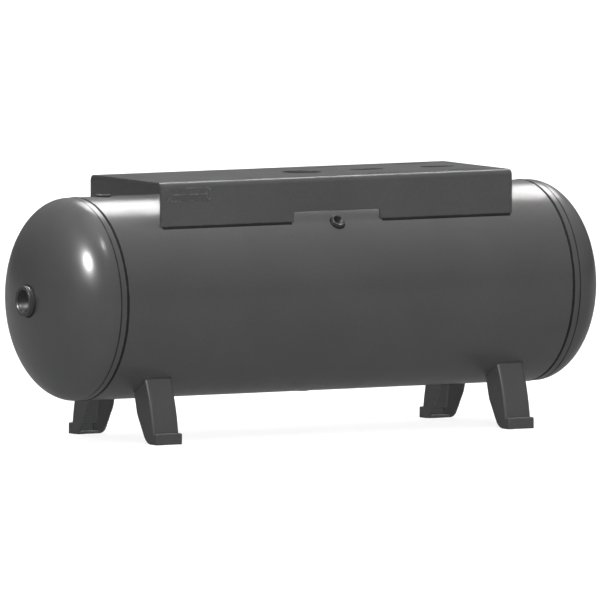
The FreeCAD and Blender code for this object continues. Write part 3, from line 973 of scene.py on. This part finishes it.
# darker than the tank enamel as painted shade, for couplings that the shadowless fills light inside
# and out
coupling_paint = painted(
    "coupling enamel", dark_charcoal, gloss=(0.24, 0.34), cloud=0.22, peel=0.6, wear=0.5,
    dust=0.05, scuff=0.3, shine=0.3, coat=0.3, edge_shade=0.6)
data_plate_finish = painted(
    "rating plate enamel", charcoal, gloss=(0.30, 0.42), cloud=0.25, peel=0.4, wear=0.6,
    dust=0.03, scuff=0.8, shade_and_grime=0.9, steel=bright_steel)
rivet_finish = painted(
    "rivet enamel", charcoal, gloss=(0.28, 0.40), cloud=0.25, peel=0.4, wear=0.8, dust=0.03,
    scuff=0.3, steel=bright_steel)
line_fill = painted(
    "line filler", weld_black, gloss=(0.5, 0.6), cloud=0.3, peel=0.3, wear=0.0, dust=0.02,
    scuff=0.1, shine=0.3)
bare_thread = thread_steel()


# ---------------------------------------------------------------- the receiver

def node_middle_x(node):
    low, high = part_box(node)
    return (low.x + high.x) / 2


def build_tank():
    holes = []
    for name, (degrees, _) in COUPLINGS.items():
        way = radial_way(degrees)
        place = AXIS + X * node_middle_x(name + "_coupling") + way * TANK_R
        holes.append((place, way, SMALL_R, 60.0 * MM))
    finish_piece("shell_rolled", cut_round_holes(shell_mesh(), holes), [tank_paint], "shell",
                 30.0)
    for name, side in (("left", -1.0), ("right", 1.0)):
        finish_piece("head_dished_" + name, head_mesh(side), [tank_paint], "head_" + name,
                     30.0)
        finish_piece("girth_bead_" + name, girth_bead_mesh(side), [weld_paint],
                     "girth_weld_" + name, 50.0)
        finish_piece("end_bead_" + name, end_bead_mesh(side), [weld_paint], "end_weld_" + name,
                     50.0)
    finish_piece("seam_bead", seam_bead_mesh(), [weld_paint], "seam_weld", 50.0)


def build_couplings():
    for name, (degrees, out) in COUPLINGS.items():
        way = radial_way(degrees)
        centre_x = node_middle_x(name + "_coupling")
        mouth = AXIS + X * centre_x + way * (TANK_R + out)
        mesh = coupling_mesh(mouth, way, SMALL_R, SMALL_BORE, SMALL_LEN, SMALL_PITCH,
                             SMALL_SINK, 72)
        finish_piece(name + "_half_coupling", mesh, [coupling_paint, bare_thread],
                     name + "_coupling", 40.0)
        if name != "drain":
            finish_piece(name + "_coupling_bead", coupling_bead_mesh(centre_x, way, SMALL_R),
                         [weld_paint], name + "_coupling_weld", 50.0)
    for name, side in (("left", -1.0), ("right", 1.0)):
        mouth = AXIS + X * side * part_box("end_coupling_right")[1].x
        mesh = coupling_mesh(mouth, X * side, END_R, END_BORE, END_LEN, END_PITCH, END_SINK, 96)
        finish_piece("end_half_coupling_" + name, mesh, [coupling_paint, bare_thread],
                     "end_coupling_" + name, 40.0)


def build_plate_work():
    piece = finish_piece("top_plate_bent", eased_mesh("top_plate", PLATE_EASE), [plate_paint],
                         "top_plate", 50.0)
    even_shading(piece)
    for front in (True, False):
        name = "front" if front else "rear"
        finish_piece("plate_bead_" + name, plate_bead_mesh(front), [weld_paint],
                     "plate_weld_" + name, 50.0)
    finish_piece("rating_plate_blank", blank_plate_mesh(), [data_plate_finish, line_fill],
                 "data_plate", 40.0)
    finish_piece("rating_plate_rivets", rivets_mesh(), [rivet_finish], "data_plate_rivets",
                 50.0)


def even_shading(piece):
    """Keep broad faces flat in shading next to their eased edges."""
    even = piece.modifiers.new("even", "WEIGHTED_NORMAL")
    even.keep_sharp = True
    even.weight = 80


def build_feet():
    for place in ("front_left", "front_right", "rear_left", "rear_right"):
        foot = finish_piece("foot_channel_" + place, eased_mesh("leg_" + place, FOOT_EASE),
                            [leg_paint], "leg_" + place, 50.0)
        even_shading(foot)
        pad = finish_piece("foot_pad_" + place, eased_mesh("foot_plate_" + place, FOOT_EASE),
                           [leg_paint], "foot_plate_" + place, 50.0)
        even_shading(pad)
        finish_piece("foot_bead_" + place, leg_bead_mesh("leg_weld_" + place),
                     [foot_weld_paint], "leg_weld_" + place, 50.0)


build_tank()
build_couplings()
build_plate_work()
build_feet()


# ---------------------------------------------------------------- floor, light and camera

def lay_floor():
    """Wide floor, just clear below the feet."""
    reach = 60.0
    mesh = mesh_from("floor", [(-reach, -reach, 0), (reach, -reach, 0), (reach, reach, 0),
                               (-reach, reach, 0)], [(0, 1, 2, 3)])
    mesh.materials.append(floor_finish())
    floor = bpy.data.objects.new("floor", mesh)
    floor.location.z = -0.2 * MM
    bpy.context.scene.collection.objects.link(floor)


def light_room():
    """Pale room, darker at the level of the floor, behind a plain white backdrop."""
    world = bpy.data.worlds.new("studio")
    bpy.context.scene.world = world
    world.use_nodes = True
    tree = world.node_tree
    tree.nodes.clear()
    where = tree.nodes.new("ShaderNodeTexCoord")
    split = tree.nodes.new("ShaderNodeSeparateXYZ")
    tree.links.new(where.outputs["Generated"], split.inputs[0])
    path = tree.nodes.new("ShaderNodeLightPath")
    low = spread(tree, path.outputs["Is Glossy Ray"], 0.0, 1.0, 0.30, 0.08)
    rise = spread(tree, split.outputs["Z"], 0.0, 0.8, low, 0.70)
    room = tree.nodes.new("ShaderNodeBackground")
    tree.links.new(rise, room.inputs["Strength"])
    backdrop = tree.nodes.new("ShaderNodeBackground")
    backdrop.inputs["Strength"].default_value = 1.0
    mix = tree.nodes.new("ShaderNodeMixShader")
    tree.links.new(path.outputs["Is Camera Ray"], mix.inputs[0])
    tree.links.new(room.outputs[0], mix.inputs[1])
    tree.links.new(backdrop.outputs[0], mix.inputs[2])
    out = tree.nodes.new("ShaderNodeOutputWorld")
    tree.links.new(mix.outputs[0], out.inputs["Surface"])


def hang_lamp(name, way, strength, degrees, shadow, gloss=True, fill=True):
    """Very soft lamp, far off in the given direction; one without shadow fills evenly."""
    lamp = bpy.data.lights.new(name, "SUN")
    lamp.energy = strength
    lamp.angle = math.radians(degrees)
    lamp.use_shadow = shadow
    lamp.cycles.use_multiple_importance_sampling = shadow
    holder = bpy.data.objects.new(name, lamp)
    holder.rotation_mode = "QUATERNION"
    holder.rotation_quaternion = Vector(way).to_track_quat("Z", "Y")
    holder.visible_glossy = gloss
    holder.visible_diffuse = fill
    bpy.context.scene.collection.objects.link(holder)


def set_camera():
    """Long lens, from the front and the left, a little above level."""
    azimuth, rise = math.radians(30.0), math.radians(4.27)
    away, width_seen = 66.9, 1.5056
    back = Vector((-math.sin(azimuth) * math.cos(rise), -math.cos(azimuth) * math.cos(rise),
                   math.sin(rise)))
    right = Vector((math.cos(azimuth), -math.sin(azimuth), 0))
    up = back.cross(right)
    aim = AXIS - right * 3.8 * MM - up * 26.5 * MM
    lens = bpy.data.cameras.new("camera")
    lens.sensor_width = 36.0
    lens.lens = lens.sensor_width * away / width_seen
    lens.clip_start, lens.clip_end = 1.0, 1000.0
    camera = bpy.data.objects.new("camera", lens)
    camera.rotation_mode = "QUATERNION"
    camera.rotation_quaternion = back.to_track_quat("Z", "Y")
    camera.location = aim + back * away
    bpy.context.scene.collection.objects.link(camera)
    bpy.context.scene.camera = camera


lay_floor()
light_room()
hang_lamp("lamp_back_right", (0.47, 0.53, 0.70), 2.1, 27.0, False, fill=False)
hang_lamp("lamp_left", (-0.84, -0.17, 0.51), 4.8, 12.0, False, fill=False)
hang_lamp("lamp_over_front", (-0.10, -0.43, 0.90), 0.7, 10.0, False, fill=False)
hang_lamp("lamp_overhead", (0.0, -0.12, 0.99), 0.5, 50.0, True)
hang_lamp("fill_overhead", (0.0, -0.20, 0.98), 1.5, 40.0, False, gloss=False)
hang_lamp("fill_front", (-0.40, -0.90, 0.10), 1.3, 60.0, False, gloss=False)
hang_lamp("fill_left", (-0.80, -0.50, 0.30), 0.9, 60.0, False, gloss=False)
hang_lamp("fill_low", (-0.15, -0.40, -0.90), 0.9, 60.0, False, gloss=False)
hang_lamp("fill_back", (0.45, 0.88, 0.10), 1.3, 60.0, False, gloss=False)
set_camera()
bpy.context.scene.view_settings.view_transform = "Standard"
bpy.context.scene.view_settings.look = "None"
